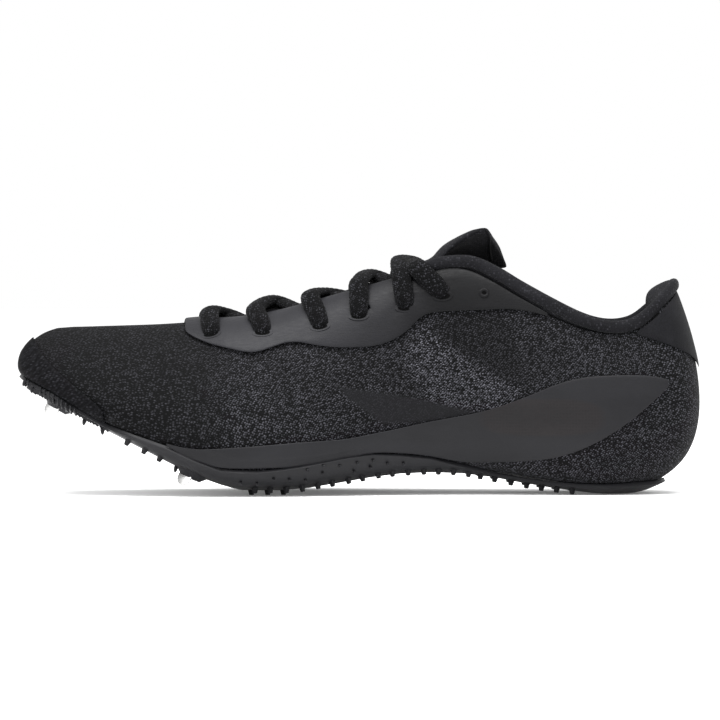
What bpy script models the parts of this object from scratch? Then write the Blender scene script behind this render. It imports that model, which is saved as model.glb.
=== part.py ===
"""A track spike shoe for the right foot, empty and standing on its sole.

Metres, +Z up. The toe points along -X, the inner side of the foot faces -Y, and the floor is z = 0.
Every piece lies on one last. The last is a ring of ribs: each rib starts under the foot, turns round the
corner of the sole and climbs the side to the top edge. A place on it is (ring place, girth): ring place
0 is the toe, LAST_ROW the heel, and the outer side follows on from there; girth 0 is the corner of the
sole, 1 the top edge and -1 the middle of the sole.
"""

import math
from bisect import bisect_right
from functools import lru_cache

import bmesh
import bpy
from mathutils import Matrix, Vector

# Main sizes
LENGTH = 0.284
BALL_WIDTH = 0.092
HEEL_HEIGHT = 0.0895
UPPER_WALL = 0.0014
PLATE_WALL = 0.0016
FILM = 0.0006
GAP = 0.0003
SKIN_GAP = 0.0004
INSOLE_THICK = 0.003

# Studs, toe ribs and spikes
STUD_FOOT = 0.0016
STUD_TIP = 0.0009
STUD_HEIGHT = 0.0021
STUD_SINK = 0.0011
FRONT_STUD_PITCH = 0.0075
REAR_STUD_PITCH = 0.0065
TOE_STUD_PITCH = 0.0045
TOE_STUD_GIRTH = -0.18
RIB_PITCH = 0.00175
RIB_RADIUS = 0.0007
RIB_TALL = 0.0034
SEAT_FOOT = 0.0075
SEAT_TIP = 0.0043
SEAT_HEIGHT = 0.0020
SPIKE_FLANGE = 0.0036
SPIKE_FLANGE_THICK = 0.0008
SPIKE_ROOT = 0.0015
SPIKE_POINT = 0.0004
SPIKE_LENGTH = 0.0036

# Laces, collar and tongue
LACE_WIDTH = 0.0068
LACE_THICK = 0.0034
LACE_DRIFT = 0.35
LACE_DIVE = 0.55
HOLE_RADIUS = 0.0016
HOLE_GIRTH = 0.82
COLLAR_ROLL = 0.0030
COLLAR_PAD = 0.0036
COLLAR_DEEP = 0.024
COLLAR_BULGE = 1.2
TONGUE_PAD = 0.0036
LAG_BACK = 0.6


WELD = 0.00002
UP = Vector((0.0, 0.0, 1.0))

# Underside of the plate along the middle: share of the length from the toe, share of the heel height
BOTTOM_LINE = (
    (0.006, 0.531), (0.035, 0.462), (0.077, 0.391), (0.122, 0.321), (0.165, 0.247), (0.211, 0.173),
    (0.254, 0.101), (0.296, 0.049), (0.338, 0.018), (0.401, 0.018), (0.444, 0.036), (0.493, 0.060),
    (0.546, 0.087), (0.606, 0.097), (0.669, 0.089), (0.722, 0.059), (0.775, 0.031), (0.827, 0.009),
    (0.866, -0.003), (0.937, -0.003), (1.000, 0.011),
)

# Ribs of the last from toe to heel. foot, top and keel are places along the length, as shares of it.
# inner and outer are the corner's distances to the two sides, ridge the middle of the top and gap half
# the opening there, as shares of the ball width, as are low_out and top_out. corner, low_up, rise and
# top_down are shares of the heel height.
RIB_COLUMNS = (
    "foot", "inner", "outer", "corner", "low_out", "low_up",
    "top", "rise", "gap", "ridge", "top_out", "top_down", "keel",
)
RIBS = (
    (0.012, 0.109, -0.109, 0.017, 0.060, 0.045, 0.063, 0.772, 0.000, -0.098, 0.152, 0.029, 0.070),
    (0.023, 0.228, 0.022, 0.020, 0.065, 0.050, 0.069, 0.778, 0.000, -0.092, 0.163, 0.031, 0.077),
    (0.060, 0.337, 0.152, 0.028, 0.071, 0.061, 0.095, 0.784, 0.000, -0.087, 0.185, 0.034, 0.106),
    (0.134, 0.402, 0.277, 0.034, 0.082, 0.078, 0.151, 0.791, 0.000, -0.065, 0.217, 0.034, 0.158),
    (0.222, 0.440, 0.370, 0.045, 0.109, 0.101, 0.218, 0.801, 0.000, -0.043, 0.261, 0.039, 0.229),
    (0.303, 0.451, 0.418, 0.056, 0.130, 0.123, 0.271, 0.815, 0.000, -0.033, 0.315, 0.045, 0.303),
    (0.356, 0.435, 0.440, 0.056, 0.141, 0.134, 0.292, 0.810, 0.071, -0.027, 0.283, 0.034, 0.356),
    (0.430, 0.386, 0.446, 0.056, 0.130, 0.134, 0.366, 0.832, 0.098, -0.022, 0.283, 0.045, 0.430),
    (0.518, 0.304, 0.413, 0.056, 0.120, 0.145, 0.461, 0.916, 0.130, -0.011, 0.239, 0.067, 0.518),
    (0.606, 0.250, 0.364, 0.056, 0.109, 0.156, 0.556, 1.000, 0.158, 0.000, 0.185, 0.101, 0.606),
    (0.697, 0.245, 0.321, 0.056, 0.098, 0.156, 0.648, 1.061, 0.228, 0.000, 0.120, 0.156, 0.697),
    (0.782, 0.277, 0.299, 0.056, 0.098, 0.145, 0.732, 0.916, 0.268, 0.000, 0.098, 0.223, 0.782),
    (0.856, 0.288, 0.288, 0.061, 0.109, 0.134, 0.824, 0.774, 0.293, 0.000, 0.076, 0.268, 0.838),
    (0.912, 0.217, 0.217, 0.067, 0.152, 0.134, 0.903, 0.763, 0.230, 0.000, 0.098, 0.291, 0.866),
    (0.944, 0.114, 0.114, 0.062, 0.200, 0.120, 0.949, 0.900, 0.155, 0.000, 0.141, 0.369, 0.877),
    (0.952, 0.000, 0.000, 0.062, 0.215, 0.120, 0.961, 0.968, 0.000, 0.000, 0.163, 0.402, 0.880),
)
LAST_ROW = len(RIBS) - 1
RING = 2 * LAST_ROW

# Heights of edges that run along the side: rib row, share of the heel height
PLATE_RIM = (
    (0, 0.563), (1, 0.540), (2, 0.477), (3, 0.337), (4, 0.242), (4.5, 0.178), (5, 0.133), (6, 0.126), (7, 0.155),
    (8, 0.200), (9, 0.181), (10, 0.111), (11, 0.067), (12, 0.055), (13, 0.062), (15, 0.076),
)
FILM_TOP = ((0, 0.726), (1, 0.705), (2, 0.585), (3, 0.400))
WING_LOW = ((4, 0.150), (9, 0.150), (10, 0.154), (11, 0.168), (12, 0.252), (13, 0.415), (13.5, 0.505))
WING_TOP = (
    (4, 0.256), (4.5, 0.234), (5, 0.236), (6, 0.242), (7, 0.263), (8, 0.288), (9, 0.345),
    (10, 0.394), (11, 0.475), (12, 0.556), (13, 0.558), (13.5, 0.538),
)
EYESTAY_LOW = (
    (4.5, 0.745), (5, 0.702), (6, 0.674), (6.5, 0.645), (7, 0.690), (8, 0.678), (8.5, 0.684), (9, 0.835),
    (9.5, 0.846), (10, 0.851), (11, 0.862), (11.5, 0.824),
)
PATCH_LOW = ((13, 0.742), (14, 0.665), (15, 0.572))

# Thickness of the collar's pad by rib row, as a share of COLLAR_PAD
COLLAR_PADS = ((9.5, 0.45), (10.5, 0.90), (12, 1.00), (13, 1.20), (14, 2.30), (15, 3.20))

# Tongue: place along the length, share of the heel height, half width and side drop as shares of the
# ball width, thickness as a share of its pad, how far the outer side lags behind the inner one, and its middle
# line, both as shares of the ball width
TONGUE_COLUMNS = ("along", "rise", "half", "drop", "pad", "lag", "middle")
TONGUE_ROWS = (
    (0.239, 0.760, 0.085, 0.035, 0.40, 0.00, -0.040),
    (0.292, 0.790, 0.150, 0.076, 0.50, 0.00, -0.030),
    (0.366, 0.844, 0.185, 0.152, 0.60, 0.00, -0.022),
    (0.461, 0.910, 0.205, 0.152, 0.65, 0.00, -0.011),
    (0.535, 0.984, 0.205, 0.163, 0.75, 0.00, 0.000),
    (0.588, 1.058, 0.150, 0.120, 0.85, 0.00, 0.000),
    (0.630, 1.172, 0.150, 0.076, 1.30, 0.040, 0.000),
    (0.672, 1.195, 0.175, 0.043, 1.60, 0.076, 0.000),
    (0.704, 1.180, 0.165, 0.022, 1.00, 0.096, 0.000),
)

# Lace holes by ring place on the inner side, and the middle of each crossing over the tongue as a
# share of the length and of the heel height
HOLE_ROWS = (5.5, 6.75, 7.65, 8.4, 9.05, 9.55)
CROSSINGS = ((0.305, 0.866), (0.378, 0.922), (0.456, 0.956), (0.521, 1.042), (0.564, 1.108))

# Spike seats: rib row and girth, one on each side of the foot
SPIKE_ROWS = ((1.9, -0.42), (4.45, -0.42))

# Where the collar starts, as a rib row, and how the ribs are spaced out along the ring
COLLAR_START = 9.5
STOP = 0.5
FINE_STOP = 0.25
FINE_FROM = 13.5


def along(share):
    """A place along the shoe, from a share of its length measured from the toe."""
    return (share - 0.5) * LENGTH


def curve_through(pairs):
    """A cubic through (place, value) pairs that never swings past them."""
    places = [pair[0] for pair in pairs]
    values = [pair[1] for pair in pairs]
    slopes = [
        (values[i + 1] - values[i]) / (places[i + 1] - places[i]) for i in range(len(pairs) - 1)
    ]
    leans = [slopes[0]]
    for before, after in zip(slopes, slopes[1:]):
        leans.append(0.0 if before * after <= 0.0 else 2 * before * after / (before + after))
    leans.append(slopes[-1])

    def at(place):
        place = min(max(place, places[0]), places[-1])
        i = min(bisect_right(places, place) - 1, len(slopes) - 1)
        span = places[i + 1] - places[i]
        t = (place - places[i]) / span
        s = 1.0 - t
        return (
            s * s * (1 + 2 * t) * values[i]
            + t * t * (1 + 2 * s) * values[i + 1]
            + span * s * t * (s * leans[i] - t * leans[i + 1])
        )

    return at


def bezier(a, b, c, d, t):
    s = 1.0 - t
    return a * (s * s * s) + b * (3 * s * s * t) + c * (3 * s * t * t) + d * (t * t * t)


def catmull(points, t):
    """A smooth path through a short list of points, t from 0 to 1."""
    place = min(max(t, 0.0), 1.0) * (len(points) - 1)
    i = min(int(place), len(points) - 2)
    f = place - i
    a = points[max(i - 1, 0)]
    b = points[i]
    c = points[i + 1]
    d = points[min(i + 2, len(points) - 1)]
    return (b * 2 + (c - a) * f + (a * 2 - b * 5 + c * 4 - d) * f**2 + (b * 3 - a - c * 3 + d) * f**3) / 2


bottom_line = curve_through(BOTTOM_LINE)


def plate_bottom(x):
    return bottom_line(x / LENGTH + 0.5) * HEEL_HEIGHT


def last_bottom(x):
    return plate_bottom(x) + PLATE_WALL + SKIN_GAP


def ring_rows():
    """The ribs in metres, as a closed ring: inner side from toe to heel, then outer side back."""
    ring = []
    for index in range(RING):
        row = dict(zip(RIB_COLUMNS, RIBS[index if index <= LAST_ROW else RING - index]))
        outward = -1 if index <= LAST_ROW else 1
        side = row["inner"] if outward < 0 else row["outer"]
        ring.append((
            along(row["foot"]),
            outward * side * BALL_WIDTH,
            row["corner"] * HEEL_HEIGHT,
            row["low_out"] * BALL_WIDTH,
            row["low_up"] * HEEL_HEIGHT,
            along(row["top"]),
            (row["ridge"] + outward * row["gap"]) * BALL_WIDTH,
            row["rise"] * HEEL_HEIGHT,
            row["ridge"] * BALL_WIDTH,
            row["top_out"] * BALL_WIDTH,
            row["top_down"] * HEEL_HEIGHT,
            along(row["keel"]),
            (row["outer"] - row["inner"]) / 2 * BALL_WIDTH,
        ))
    return ring


RING_ROWS = ring_rows()


@lru_cache(maxsize=None)
def ring_values(place):
    """Every rib value at a place between the rows, on a smooth closed curve through them."""
    i = math.floor(place)
    f = place - i
    weights = (
        (-f + 2 * f**2 - f**3) / 2,
        (2 - 5 * f**2 + 3 * f**3) / 2,
        (f + 4 * f**2 - 3 * f**3) / 2,
        (f**3 - f**2) / 2,
    )
    rows = [RING_ROWS[(i + k) % RING] for k in (-1, 0, 1, 2)]
    return [sum(w * row[c] for w, row in zip(weights, rows)) for c in range(len(rows[0]))]


@lru_cache(maxsize=None)
def rib(place):
    """The handles of a rib: keel, middle, turn, foot, low, high and edge."""
    x, y, corner, low_out, low_up, top, top_y, rise, ridge, top_out, top_down, keel, keel_y = (
        ring_values(place)
    )
    outer = place % RING > LAST_ROW
    top_y = max(top_y, ridge) if outer else min(top_y, ridge)
    ahead, behind = ring_values(place + 0.01), ring_values(place - 0.01)
    out = Vector((ahead[1] - behind[1], behind[0] - ahead[0], 0.0)).normalized()
    foot = Vector((x, y, last_bottom(x) + corner))
    low = foot + out * low_out + UP * low_up
    edge = Vector((top, top_y, rise))
    high = edge + out * top_out - UP * top_down
    turn = foot - (low - foot) * (corner / low_up)
    keel_point = Vector((keel, keel_y, last_bottom(keel)))
    middle = (keel_point + turn) / 2
    middle.z = last_bottom(middle.x)
    return keel_point, middle, turn, foot, low, high, edge


def skin(place, girth):
    """A point on the last, which is the outer face of the upper."""
    place = round(place, 4) % RING
    keel, middle, turn, foot, low, high, edge = rib(place)
    if girth < 0.0:
        return bezier(keel, middle, turn, foot, girth + 1.0)
    return bezier(foot, low, high, edge, girth)


def normal(place, girth):
    """The direction that points out of the shoe there."""
    step = 0.01
    over = skin(place + step, girth) - skin(place - step, girth)
    up = skin(place, min(girth + step, 1.0)) - skin(place, max(girth - step, -1.0))
    return over.cross(up).normalized()


def climb(place, girth):
    """The direction up the side there."""
    step = 0.01
    return (skin(place, min(girth + step, 1.0)) - skin(place, girth - step)).normalized()


def row_of(place):
    place %= RING
    return place if place <= LAST_ROW else RING - place


@lru_cache(maxsize=None)
def girth_at(place, height):
    """The girth at which a rib reaches a height."""
    low, high = -0.7, 1.0
    for _ in range(22):
        middle = (low + high) / 2
        if skin(place, middle).z < height:
            low = middle
        else:
            high = middle
    return high


def height_edge(pairs, least=None):
    """An edge along the side, as the girth at each ring place, kept above another edge."""
    heights = curve_through(pairs)

    def at(place):
        girth = girth_at(round(place, 4), round(heights(row_of(place)) * HEEL_HEIGHT, 6))
        return girth if least is None else max(girth, least(place))

    return at


plate_rim = height_edge(PLATE_RIM)


def above_rim(place):
    """Just over the rim of the plate, for the films that start there."""
    reach = (skin(place, plate_rim(place) + 0.05) - skin(place, plate_rim(place))).length
    return plate_rim(place) + 0.05 * 2 * GAP / reach


def fresh_scene():
    for item in list(bpy.data.objects):
        bpy.data.objects.remove(item)


def collection(name):
    made = bpy.data.collections.new(name)
    bpy.context.scene.collection.children.link(made)
    return made


def material(name, colour, roughness, metallic=0.0):
    made = bpy.data.materials.new(name)
    made.use_nodes = True
    shader = made.node_tree.nodes["Principled BSDF"]
    shader.inputs["Base Color"].default_value = (*colour, 1.0)
    shader.inputs["Roughness"].default_value = roughness
    shader.inputs["Metallic"].default_value = metallic
    return made


def piece(name, bm, group, finish=None):
    mesh = bpy.data.meshes.new(name)
    bm.to_mesh(mesh)
    bm.free()
    mesh.shade_smooth()
    made = bpy.data.objects.new(name, mesh)
    group.objects.link(made)
    if finish:
        mesh.materials.append(finish)
    return made


def helper(name, bm, group):
    """A cutter or a joiner, which isn't a piece itself."""
    made = piece(name, bm, group)
    made.hide_render = True
    made.display_type = "WIRE"
    return made


def grid(columns, lanes, place):
    """A grid laid out by place(a, b), with a and b from 0 to 1, its meeting edges welded."""
    bm = bmesh.new()
    bmesh.ops.create_grid(bm, x_segments=columns, y_segments=lanes, size=0.5)
    for vertex in bm.verts:
        vertex.co = place(vertex.co.x + 0.5, vertex.co.y + 0.5)
    bmesh.ops.remove_doubles(bm, verts=bm.verts, dist=WELD)
    bm.normal_update()
    return bm


def stops_between(start, end):
    """The ring places that every piece shares, so that the facets of neighbours lie side by side."""
    stops = []
    here = start
    while here < end - STOP / 10:
        stops.append(here)
        fine = FINE_FROM - STOP / 10 < row_of(here + FINE_STOP / 2)
        here += FINE_STOP if fine else STOP
    return stops + [end]


def on_last(lanes, spans, low, high, crowding=1.0):
    """A sheet on the last for each span of ring places, between two girth edges.

    Crowding under 1 brings the lanes closer together towards the upper edge.
    """
    bm = bmesh.new()
    for start, end in spans:
        stops = stops_between(start, end)

        def place(a, b):
            spot = stops[round(a * (len(stops) - 1))]
            return skin(spot, low(spot) + b**crowding * (high(spot) - low(spot)))

        part = bpy.data.meshes.new("part")
        sheet = grid(len(stops) - 1, lanes, place)
        sheet.to_mesh(part)
        sheet.free()
        bm.from_mesh(part)
        bpy.data.meshes.remove(part)
    bmesh.ops.remove_doubles(bm, verts=bm.verts, dist=WELD)
    bm.normal_update()
    return bm


def lifted(bm, distance):
    for vertex, place in [(v, v.co + v.normal * distance) for v in bm.verts]:
        vertex.co = place
    return bm


def walled(made, thickness, outward):
    wall = made.modifiers.new("wall", "SOLIDIFY")
    wall.thickness = thickness
    wall.offset = 1.0 if outward else -1.0
    return made


def joined(made, other, operation):
    cut = made.modifiers.new(other.name, "BOOLEAN")
    cut.operation = operation
    cut.object = other
    cut.use_self = operation == "UNION"


def frame_at(origin, out, up):
    """A matrix whose Z is out and whose Y is close to up."""
    side = up.cross(out).normalized()
    return Matrix.Translation(origin) @ Matrix((side, out.cross(side), out)).transposed().to_4x4()


def constant(value):
    return lambda place: value


def upper(group, finish):
    sheet = on_last(10, ((0, RING),), constant(-0.42), constant(1.0))
    return walled(piece("upper", sheet, group, finish), UPPER_WALL, False)


def spaced(start, end, pitch, girth):
    """Ring places one pitch apart along a line of even girth."""
    places = []
    travelled = 0.0
    step = 0.02
    spot = start
    before = skin(spot, girth(spot))
    while spot < end:
        spot += step
        here = skin(spot, girth(spot))
        travelled += (here - before).length
        before = here
        if travelled >= pitch:
            places.append(spot)
            travelled -= pitch
    return places


def spike_places():
    return [(place, girth) for row, girth in SPIKE_ROWS for place in (row, RING - row)]


def both_sides(places):
    return [side for place in places for side in (place, RING - place)]


def clear_of_seats(place, girth):
    """True where a small stud would stand clear of every spike's seat."""
    here = skin(place, girth)
    room = SEAT_FOOT + 2 * STUD_FOOT
    return all((here - skin(*seat)).length > room for seat in spike_places())


def stud(bm, place, girth, foot, tip, height, sides):
    """A tapered peg that stands on the plate."""
    out = normal(place, girth)
    base = skin(place, girth) + out * (SKIN_GAP + PLATE_WALL - STUD_SINK)
    tall = height + STUD_SINK
    turn = frame_at(base + out * tall / 2, out, Vector((1.0, 0.0, 0.0)))
    bmesh.ops.create_cone(
        bm, cap_ends=True, segments=sides, radius1=foot, radius2=tip, depth=tall, matrix=turn
    )


def plate_studs(group):
    """Every stud and spike seat of the plate, and the fine ribs round its toe."""
    bm = bmesh.new()
    inside = constant(-0.62)

    def edge(place):
        return min(-0.30, plate_rim(place) - 0.16)

    rows = (
        (3.1, 5.1, FRONT_STUD_PITCH, edge),
        (5.45, 11.6, REAR_STUD_PITCH, edge),
        (5.35, 6.6, REAR_STUD_PITCH, inside),
    )
    for start, end, pitch, girth in rows:
        for place in both_sides(spaced(start, end, pitch, girth)):
            if clear_of_seats(place, girth(place)):
                stud(bm, place, girth(place), STUD_FOOT, STUD_TIP, STUD_HEIGHT, 4)
    for place in both_sides(spaced(0.1, 1.3, TOE_STUD_PITCH, constant(TOE_STUD_GIRTH))):
        if clear_of_seats(place, TOE_STUD_GIRTH):
            stud(bm, place, TOE_STUD_GIRTH, STUD_FOOT * 0.8, STUD_TIP, STUD_HEIGHT * 0.7, 4)
    for place, girth in spike_places():
        stud(bm, place, girth, SEAT_FOOT, SEAT_TIP, SEAT_HEIGHT, 12)
    for place in both_sides(spaced(0.9, 3.05, RIB_PITCH, plate_rim)):
        girth = plate_rim(place) - 0.04
        out = normal(place, girth)
        centre = skin(place, girth) + out * (SKIN_GAP + PLATE_WALL) - climb(place, girth) * RIB_TALL / 2
        turn = frame_at(centre, climb(place, girth), out)
        bmesh.ops.create_cone(
            bm, cap_ends=True, segments=3, radius1=RIB_RADIUS, radius2=RIB_RADIUS, depth=RIB_TALL,
            matrix=turn,
        )
    return helper("studs", bm, group)


def floor_cut(group):
    """What lies under the floor, so that the heel and the studs at the ball end flat on it."""
    bm = bmesh.new()
    deep = BALL_WIDTH
    size = Matrix.Diagonal((2 * LENGTH, 2 * BALL_WIDTH, deep, 1.0))
    bmesh.ops.create_cube(bm, size=1.0, matrix=Matrix.Translation(-UP * deep / 2) @ size)
    return helper("floor_cut", bm, group)


def sole_plate(group, cutters, finish):
    sheet = on_last(6, ((0, RING),), constant(-1.0), plate_rim, 0.65)
    made = walled(piece("sole_plate", lifted(sheet, SKIN_GAP), group, finish), PLATE_WALL, True)
    joined(made, plate_studs(cutters), "UNION")
    joined(made, floor_cut(cutters), "DIFFERENCE")
    return made


def insole(group, finish):
    sheet = on_last(2, ((0, RING),), constant(-1.0), constant(-0.12), 0.8)
    made = piece("insole", lifted(sheet, -UPPER_WALL - GAP), group, finish)
    return walled(made, INSOLE_THICK, False)


def toe_film(group, finish):
    reach = FILM_TOP[-1][0]
    sheet = on_last(6, ((-reach, reach),), above_rim, height_edge(FILM_TOP, above_rim))
    return walled(piece("toe_film", lifted(sheet, SKIN_GAP), group, finish), FILM, True)


def wing(name, group, finish, outer):
    start, end = WING_TOP[0][0], WING_TOP[-1][0]
    span = (RING - end, RING - start) if outer else (start, end)
    low = height_edge(WING_LOW, above_rim)
    sheet = on_last(5, (span,), low, height_edge(WING_TOP))
    return walled(piece(name, lifted(sheet, SKIN_GAP), group, finish), FILM, True)


def eyestay(group, finish):
    start, end = EYESTAY_LOW[0][0], EYESTAY_LOW[-1][0]
    spans = ((start, end), (RING - end, RING - start))
    sheet = on_last(5, spans, height_edge(EYESTAY_LOW), constant(1.0))
    return walled(piece("eyestay", lifted(sheet, SKIN_GAP), group, finish), FILM, True)


def heel_patch(group, finish):
    start = PATCH_LOW[0][0]
    sheet = on_last(3, ((start, RING - start),), height_edge(PATCH_LOW), constant(0.985))
    return walled(piece("heel_patch", lifted(sheet, SKIN_GAP), group, finish), FILM, True)


def lace_holes(group):
    bm = bmesh.new()
    for place in both_sides(HOLE_ROWS):
        out = normal(place, HOLE_GIRTH)
        turn = frame_at(skin(place, HOLE_GIRTH), out, climb(place, HOLE_GIRTH))
        bmesh.ops.create_cone(
            bm, cap_ends=True, segments=6, radius1=HOLE_RADIUS, radius2=HOLE_RADIUS,
            depth=6 * UPPER_WALL, matrix=turn,
        )
    return helper("lace_holes", bm, group)


def tube(columns, around, place):
    """A closed body: sections of place(a, b) with b running once round, its two ends filled."""
    bm = grid(columns, around, place)
    bmesh.ops.holes_fill(bm, edges=[edge for edge in bm.edges if edge.is_boundary], sides=0)
    bmesh.ops.recalc_face_normals(bm, faces=bm.faces)
    return bm


def collar(group, finish):
    """The padded lining: it lies on the wall inside, and its roll covers the top edge."""
    stops = stops_between(COLLAR_START, RING - COLLAR_START)
    pads = curve_through(COLLAR_PADS)

    def place(a, b):
        spot = stops[round(a * (len(stops) - 1))]
        ease = math.sin(math.pi * a) ** 0.5 if 0.0 < a < 1.0 else 0.0
        pad = COLLAR_PAD * pads(row_of(spot))
        edge = skin(spot, 1.0)
        depth = 1.0 - COLLAR_DEEP / HEEL_HEIGHT * (0.4 + 0.6 * ease)
        low = skin(spot, depth)
        out, up = normal(spot, 0.97), climb(spot, 0.97)
        inward = -(UPPER_WALL + 2 * SKIN_GAP)
        low_out = normal(spot, depth)
        section = (
            low + low_out * inward,
            (low + edge) / 2 + (low_out + out) / 2 * inward + (skin(spot, (1 + depth) / 2) - (low + edge) / 2),
            edge + out * inward,
            edge + out * inward + up * GAP,
            edge + up * 2 * GAP,
            edge + up * COLLAR_ROLL * 0.8 + out * GAP,
            edge + up * COLLAR_ROLL + out * (inward / 2),
            edge + up * COLLAR_ROLL * 0.8 + out * (inward - pad * 0.8),
            edge - up * COLLAR_ROLL + out * (inward - pad),
            (low + edge) / 2 + (low_out + out) / 2 * (inward - pad * COLLAR_BULGE),
            low + low_out * (inward - pad * 0.5),
        )
        return section[round(b * len(section)) % len(section)]

    return piece("collar", tube(len(stops) - 1, 11, place), group, finish)


def tongue(group, finish):
    columns = {
        name: curve_through([(i, row[k]) for i, row in enumerate(TONGUE_ROWS)])
        for k, name in enumerate(TONGUE_COLUMNS)
    }
    count = len(TONGUE_ROWS) - 1

    def middle(t):
        aside = columns["middle"](t) * BALL_WIDTH
        return Vector((along(columns["along"](t)), aside, columns["rise"](t) * HEEL_HEIGHT))

    def place(a, b):
        t = a * count
        ahead = (middle(min(t + 0.05, count)) - middle(max(t - 0.05, 0.0))).normalized()
        lift = Vector((-ahead.z, 0.0, ahead.x)).normalized()
        angle = 2 * math.pi * b
        across = math.copysign(abs(math.cos(angle)) ** 0.7, math.cos(angle))
        pad = columns["pad"](t) * TONGUE_PAD
        half = columns["half"](t) * BALL_WIDTH
        lag = columns["lag"](t) * BALL_WIDTH * across
        drop = columns["drop"](t) * BALL_WIDTH * across**2
        deep = math.copysign(abs(math.sin(angle)) ** 0.6, math.sin(angle)) - 1.0
        side = Vector((lag * LAG_BACK, half * across, -drop - lag))
        return middle(t) + side + lift * pad / 2 * deep

    return piece("tongue", tube(2 * count, 10, place), group, finish)


def lace_strip(from_place, to_place, crown, over_far_edge):
    """One lace from its hole over the edge of the throat and the crown to the other side.

    There it goes over the far edge to that side's hole, or ends just inside the edge, which it dives
    under.
    """
    clear = SKIN_GAP + FILM + GAP + LACE_THICK / 2
    drift = (row_of(to_place) - row_of(from_place)) * LACE_DRIFT
    to_drift = -drift if to_place > LAST_ROW else drift

    def seat(place, girth):
        return skin(place, girth) + normal(place, min(girth, 0.98)) * clear

    from_edge = from_place + (drift if from_place <= LAST_ROW else -drift)
    to_edge = to_place - to_drift
    climbs = [
        (seat(from_place, HOLE_GIRTH), normal(from_place, HOLE_GIRTH)),
        (seat((from_place + from_edge) / 2, 0.92), normal(from_place, 0.92)),
        (seat(from_edge, 1.0) + UP * LACE_THICK / 4, normal(from_edge, 0.98)),
        (crown, UP),
    ]
    if over_far_edge:
        climbs += [
            (seat(to_edge, 1.0) + UP * LACE_THICK / 4, normal(to_edge, 0.98)),
            (seat((to_place + to_edge) / 2, 0.92), normal(to_place, 0.92)),
            (seat(to_place, HOLE_GIRTH), normal(to_place, HOLE_GIRTH)),
        ]
    else:
        far = skin(to_edge, 1.0)
        far.y *= LACE_DIVE
        far.z += LACE_THICK
        climbs.append((far, UP))
    points = [point for point, out in climbs]
    outs = [out for point, out in climbs]

    def place(a, b):
        ahead = (catmull(points, a + 0.02) - catmull(points, a - 0.02)).normalized()
        out = catmull(outs, a)
        side = ahead.cross(out).normalized()
        out = side.cross(ahead)
        angle = 2 * math.pi * b
        return (
            catmull(points, a)
            + side * (LACE_WIDTH / 2 * math.cos(angle))
            + out * (LACE_THICK / 2 * math.sin(angle))
        )

    return tube(8 if over_far_edge else 5, 6, place)


def laces(group, cutters, finish):
    """Five crossings between six pairs of holes, each one two strips joined where they cross."""
    for index, (share, rise) in enumerate(CROSSINGS):
        near, far = HOLE_ROWS[index], HOLE_ROWS[index + 1]
        crown = Vector((along(share), 0.0, rise * HEEL_HEIGHT - LACE_THICK / 2))
        last = index == len(CROSSINGS) - 1
        over = lace_strip(near, RING - far, crown, last)
        under = lace_strip(RING - near, far, crown - UP * LACE_THICK * 0.1, last)
        made = piece(f"lace_{index + 1}", over, group, finish)
        joined(made, helper(f"lace_under_{index + 1}", under, cutters), "UNION")


def spikes(group, finish):
    """Steel pins screwed into the seats of the plate."""
    for index, (place, girth) in enumerate(spike_places()):
        bm = bmesh.new()
        profile = (
            (0.0, SPIKE_FLANGE_THICK + SPIKE_LENGTH),
            (SPIKE_POINT, SPIKE_FLANGE_THICK + SPIKE_LENGTH),
            (SPIKE_ROOT, SPIKE_FLANGE_THICK),
            (SPIKE_FLANGE, SPIKE_FLANGE_THICK),
            (SPIKE_FLANGE, 0.0),
            (0.0, 0.0),
        )
        dots = [bm.verts.new((across, 0.0, height)) for across, height in profile]
        for first, second in zip(dots, dots[1:]):
            bm.edges.new((first, second))
        made = piece(f"spike_{index + 1}", bm, group, finish)
        turn = made.modifiers.new("turned", "SCREW")
        turn.steps = turn.render_steps = 10
        turn.use_merge_vertices = True
        turn.merge_threshold = WELD
        out = normal(place, girth)
        seat = skin(place, girth) + out * (SKIN_GAP + PLATE_WALL + SEAT_HEIGHT + GAP)
        made.matrix_world = frame_at(seat, out, Vector((1.0, 0.0, 0.0)))


def main():
    fresh_scene()
    shoe = collection("track_spike_shoe")
    cutters = collection("cutters")
    knit = material("black_knit", (0.020, 0.020, 0.022), 0.85)
    plastic = material("black_plate", (0.030, 0.030, 0.032), 0.45)
    film = material("smooth_film", (0.038, 0.038, 0.042), 0.40)
    suede = material("soft_lining", (0.016, 0.016, 0.017), 0.95)
    steel = material("spike_steel", (0.60, 0.60, 0.58), 0.30, 1.0)
    body = upper(shoe, knit)
    stay = eyestay(shoe, film)
    holes = lace_holes(cutters)
    joined(body, holes, "DIFFERENCE")
    joined(stay, holes, "DIFFERENCE")
    sole_plate(shoe, cutters, plastic)
    insole(shoe, suede)
    toe_film(shoe, film)
    wing("wing_inner", shoe, film, False)
    wing("wing_outer", shoe, film, True)
    heel_patch(shoe, film)
    collar(shoe, suede)
    tongue(shoe, suede)
    laces(shoe, cutters, knit)
    spikes(shoe, steel)


main()
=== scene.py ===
# %% [markdown]
# # A black track spike shoe
# A CAD model holds the shoe's true form: a knit upper on a stiff plate, with thin films, a padded
# collar, a tongue, laces and steel pins. This lesson dresses it. Each soft piece is a smoothed copy
# of its solid, and small parts such as laces and pins are modelled anew where the solid stands.

# %% Load the frame
import math

import bmesh
import bpy
from mathutils import Matrix, Vector
from mathutils.bvhtree import BVHTree


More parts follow.
